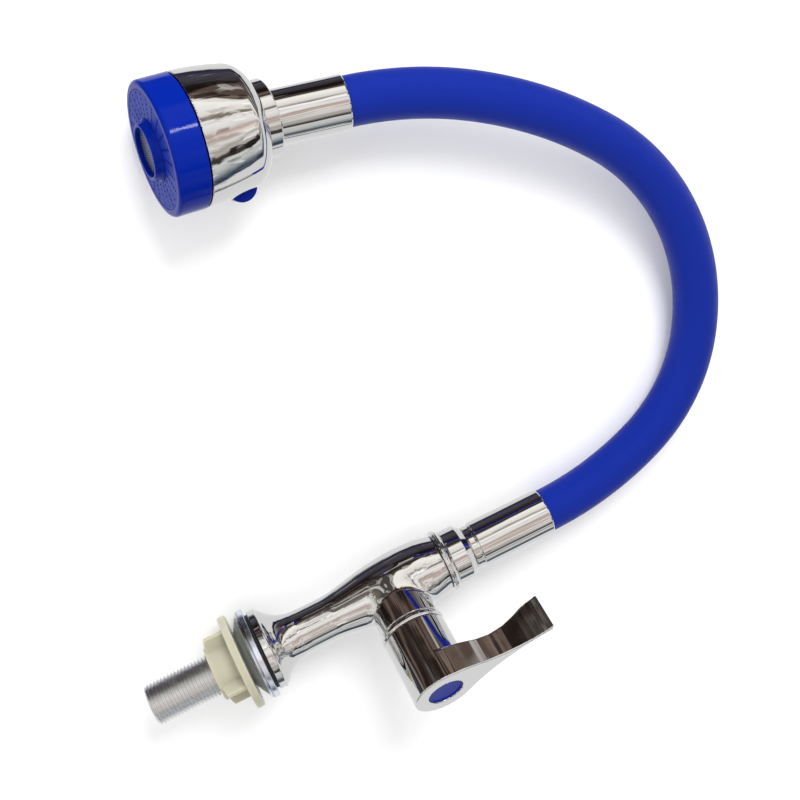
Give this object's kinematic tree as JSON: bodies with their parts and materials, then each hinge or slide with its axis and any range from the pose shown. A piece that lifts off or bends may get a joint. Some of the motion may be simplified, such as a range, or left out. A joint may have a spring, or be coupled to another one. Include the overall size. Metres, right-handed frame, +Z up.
{
  "type": "flexible-spout tap",
  "caption": "Single-lever deck tap with a flowing body, a side lever and a bendable hose spout that ends in a swivelling spray head with a mode tab.",
  "frame": {"origin": "centre of the base gasket's underside, where the tap stands on the deck", "axes": "+Z up along the body, -X towards the reach of the spout, +Y to the side away from the lever"},
  "size_m": [0.3195, 0.1029, 0.3406],
  "materials": {
    "chromed_brass": "polished",
    "chromed_plastic": "polished",
    "shank_metal": "satin, nickel plated",
    "valve_brass": "machined",
    "bright_steel": "bright",
    "mesh_steel": "woven",
    "zinc_steel": "zinc plated",
    "black_rubber": "matt",
    "blue_silicone": "satin",
    "hose_plastic": "satin",
    "white_plastic": "satin",
    "nut_plastic": "satin, slightly see-through",
    "blue_gloss": "gloss",
    "blue_plate": "satin",
    "disc_ceramic": "lapped"
  },
  "bodies": {
    "tap": {"tap_body": "chromed_brass", "inlet_shank": "shank_metal", "base_gasket": "black_rubber", "valve_seal": "black_rubber", "fixed_disc": "disc_ceramic", "valve_body": "valve_brass", "trim_ring": "chromed_brass", "swivel_ring": "chromed_brass", "collar_nut": "chromed_brass", "glide_washer": "white_plastic"},
    "lever": {"lever_handle": "chromed_brass", "spindle": "valve_brass", "moving_disc": "disc_ceramic", "lever_screw": "bright_steel", "index_button": "blue_gloss"},
    "washer": {"cup_washer": "zinc_steel"},
    "nut": {"mounting_nut": "nut_plastic"},
    "spout_root": {"spout_stem": "valve_brass", "stem_seals": "black_rubber", "lower_ferrule": "chromed_brass", "hose_sleeve_1": "blue_silicone", "gooseneck_1": "bright_steel", "water_hose_1": "hose_plastic"},
    "arm_2": {"hose_sleeve_2": "blue_silicone", "gooseneck_2": "bright_steel", "water_hose_2": "hose_plastic"},
    "arm_3": {"hose_sleeve_3": "blue_silicone", "gooseneck_3": "bright_steel", "water_hose_3": "hose_plastic"},
    "arm_4": {"hose_sleeve_4": "blue_silicone", "gooseneck_4": "bright_steel", "water_hose_4": "hose_plastic"},
    "arm_5": {"hose_sleeve_5": "blue_silicone", "gooseneck_5": "bright_steel", "water_hose_5": "hose_plastic"},
    "arm_tip": {"hose_sleeve_6": "blue_silicone", "gooseneck_6": "bright_steel", "water_hose_6": "hose_plastic", "upper_ferrule": "chromed_brass", "ball_stem": "valve_brass"},
    "seat": {"ball_seat": "white_plastic"},
    "head": {"socket_ring": "chromed_plastic", "spray_bell": "chromed_plastic", "face_ring": "blue_gloss", "spray_plate": "blue_plate", "nozzle_collar": "blue_gloss", "aerator_mesh": "mesh_steel", "aerator_cup": "white_plastic", "spray_core": "white_plastic", "water_divider": "white_plastic", "face_seal": "black_rubber", "toggle_pin": "bright_steel"},
    "toggle": {"mode_toggle": "blue_gloss"},
    "spool": {"diverter_spool": "white_plastic"}
  },
  "joints": [
    {"name": "handle_turn", "type": "hinge", "parent": "tap", "child": "lever", "pos_m": [0, 0, 0.0714], "axis": [0.4617, -0.887, 0], "range_deg": [0, 90]},
    {"name": "clamp_travel", "type": "slide", "parent": "tap", "child": "washer", "axis": [0, 0, 1], "range_m": [-0.0321, 0]},
    {"name": "nut_turn", "type": "hinge", "parent": "washer", "child": "nut", "pos_m": [0, 0, -0.02], "axis": [0, 0, 1], "range_deg": [-6371, 0]},
    {"name": "spout_swivel", "type": "hinge", "parent": "tap", "child": "spout_root", "pos_m": [0, 0, 0.11], "axis": [0, 0, 1], "continuous": true},
    {"name": "arm_bend_1", "type": "hinge", "parent": "spout_root", "child": "arm_2", "pos_m": [-0.00826, 0, 0.20845], "axis": [0, -1, 0], "range_deg": [-26, 5]},
    {"name": "arm_bend_2", "type": "hinge", "parent": "arm_2", "child": "arm_3", "pos_m": [-0.04545, 0, 0.25696], "axis": [0, -1, 0], "range_deg": [-26, 5]},
    {"name": "arm_bend_3", "type": "hinge", "parent": "arm_3", "child": "arm_4", "pos_m": [-0.10548, 0, 0.27066], "axis": [0, -1, 0], "range_deg": [-26, 8]},
    {"name": "arm_bend_4", "type": "hinge", "parent": "arm_4", "child": "arm_5", "pos_m": [-0.16355, 0, 0.24983], "axis": [0, -1, 0], "range_deg": [-26, 10]},
    {"name": "arm_bend_5", "type": "hinge", "parent": "arm_5", "child": "arm_tip", "pos_m": [-0.20589, 0.00243, 0.20441], "axis": [0.2452, -0.9304, -0.2724], "range_deg": [-24, 12]},
    {"name": "head_spin", "type": "hinge", "parent": "arm_tip", "child": "seat", "pos_m": [-0.24115, 0.01291, 0.08928], "axis": [-0.1651, 0.0663, -0.984], "continuous": true},
    {"name": "head_tilt", "type": "hinge", "parent": "seat", "child": "head", "pos_m": [-0.24115, 0.01291, 0.08928], "axis": [-0.9862, -0.0266, 0.1637], "range_deg": [-26.1, 1.9]},
    {"name": "mode_tip", "type": "hinge", "parent": "head", "child": "toggle", "pos_m": [-0.22143, 0.00762, 0.0754], "axis": [0.1434, 0.9753, -0.1679], "range_deg": [0, 10]},
    {"name": "spool_shift", "type": "slide", "parent": "head", "child": "spool", "axis": [0.1582, 0.1448, 0.9767], "range_m": [0, 0.00309]}
  ],
  "couplings": [
    {"joint": "nut_turn", "follows": "clamp_travel", "rad_per_m": 3463.7},
    {"joint": "mode_tip", "follows": "spool_shift", "rad_per_m": 56.435}
  ]
}
